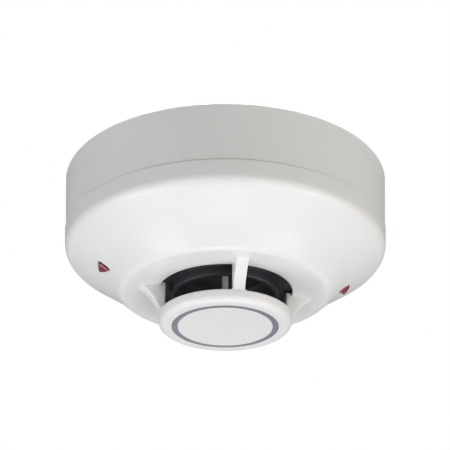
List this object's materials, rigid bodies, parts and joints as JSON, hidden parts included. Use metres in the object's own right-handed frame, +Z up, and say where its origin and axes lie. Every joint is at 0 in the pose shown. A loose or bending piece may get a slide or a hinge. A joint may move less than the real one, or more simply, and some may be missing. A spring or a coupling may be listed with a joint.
{
  "type": "heat detector",
  "caption": "Ceiling-mounted round heat detector: a coned white head with an open caged nose, twist-locked into a shallow drum base.",
  "frame": {"origin": "centre of the base's flat back face, where it meets the ceiling", "axes": "+Z up into the ceiling along the axis of the round body, -Z down to the nose; -Y towards the viewer of the picture"},
  "size_m": [0.1018, 0.1018, 0.0494],
  "materials": {
    "white_moulding": "fine satin",
    "black_moulding": "satin",
    "ring_plastic": "satin",
    "sleeve_plastic": "matt",
    "sensor_resin": "dipped resin",
    "red_lens": "clear red, polished",
    "chassis_plastic": "fine satin",
    "brass": "rolled strip",
    "steel": "zinc plated",
    "board": "solder mask",
    "component": "moulded epoxy",
    "reed_glass": "clear"
  },
  "bodies": {
    "base": {"base_shell": "white_moulding", "contact_spring_1": "brass", "contact_spring_2": "brass", "contact_spring_3": "brass", "contact_spring_4": "brass", "clamp_washer_1": "steel", "clamp_washer_2": "steel", "clamp_washer_3": "steel", "clamp_washer_4": "steel", "terminal_screw_1": "steel", "terminal_screw_2": "steel", "terminal_screw_3": "steel", "terminal_screw_4": "steel"},
    "head": {"head_cover": "white_moulding", "nose_cage": "white_moulding", "ring_insert": "ring_plastic", "inner_cover": "black_moulding", "sensor_cup": "black_moulding", "thermistor_sleeve": "sleeve_plastic", "thermistor_bead": "sensor_resin", "thermistor_lead_1": "steel", "thermistor_lead_2": "steel", "lens_left": "red_lens", "lens_right": "red_lens", "led_left": "red_lens", "led_right": "red_lens", "circuit_board": "board", "microcontroller": "component", "bridge_rectifier": "component", "film_capacitor": "component", "electrolytic_capacitor": "steel", "reed_switch": "reed_glass", "reference_thermistor": "sensor_resin", "chassis": "chassis_plastic", "contact_blade_1": "brass", "contact_blade_2": "brass", "contact_blade_3": "brass", "contact_blade_4": "brass", "chassis_screw_1": "steel", "chassis_screw_2": "steel", "chassis_screw_3": "steel"}
  },
  "joints": [
    {"name": "head_twist", "type": "hinge", "parent": "base", "child": "head", "pos_m": [0, 0, 0], "axis": [0, 0, 1], "range_deg": [-18, 0]}
  ]
}
